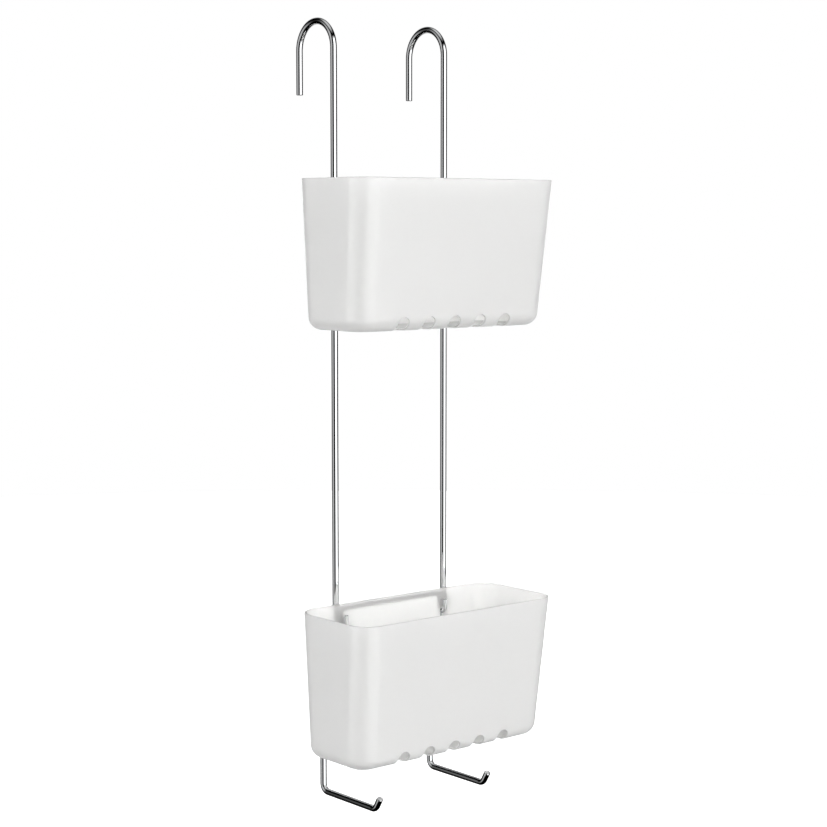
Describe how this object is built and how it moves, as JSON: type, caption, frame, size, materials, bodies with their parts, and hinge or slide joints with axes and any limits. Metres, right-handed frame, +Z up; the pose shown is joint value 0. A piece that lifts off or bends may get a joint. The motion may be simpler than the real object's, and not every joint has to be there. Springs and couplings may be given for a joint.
{
  "type": "shower caddy",
  "caption": "Shower caddy that hangs over a screen: bent-wire rods with top hooks and foot hooks carry two lift-off frosted storage tubs with drain arches.",
  "frame": {"origin": "midway between the two top hooks, on the inside of their arches where they sit on the screen's top edge", "axes": "+X across the caddy to its right as seen from the front, +Y towards the screen and the hooks' free legs, so the baskets' front faces -Y, +Z up"},
  "size_m": [0.265, 0.1815, 0.8171],
  "materials": {
    "chrome_wire": "polished chrome plating",
    "chrome_weld": "plated weld bead, slightly dull",
    "frosted_plastic": "frosted translucent polypropylene, satin"
  },
  "bodies": {
    "frame": {"left_rod": "chrome_wire", "right_rod": "chrome_wire", "upper_bracket": "chrome_wire", "lower_bracket": "chrome_wire", "upper_welds": "chrome_weld", "lower_welds": "chrome_weld"},
    "upper_basket": {"upper_basket": "frosted_plastic"},
    "lower_basket": {"lower_basket": "frosted_plastic"}
  },
  "joints": [
    {"name": "upper_basket_lift", "type": "slide", "parent": "frame", "child": "upper_basket", "axis": [0, 0, 1], "range_m": [0, 0.0115]},
    {"name": "lower_basket_lift", "type": "slide", "parent": "frame", "child": "lower_basket", "axis": [0, 0, 1], "range_m": [0, 0.0115]}
  ]
}
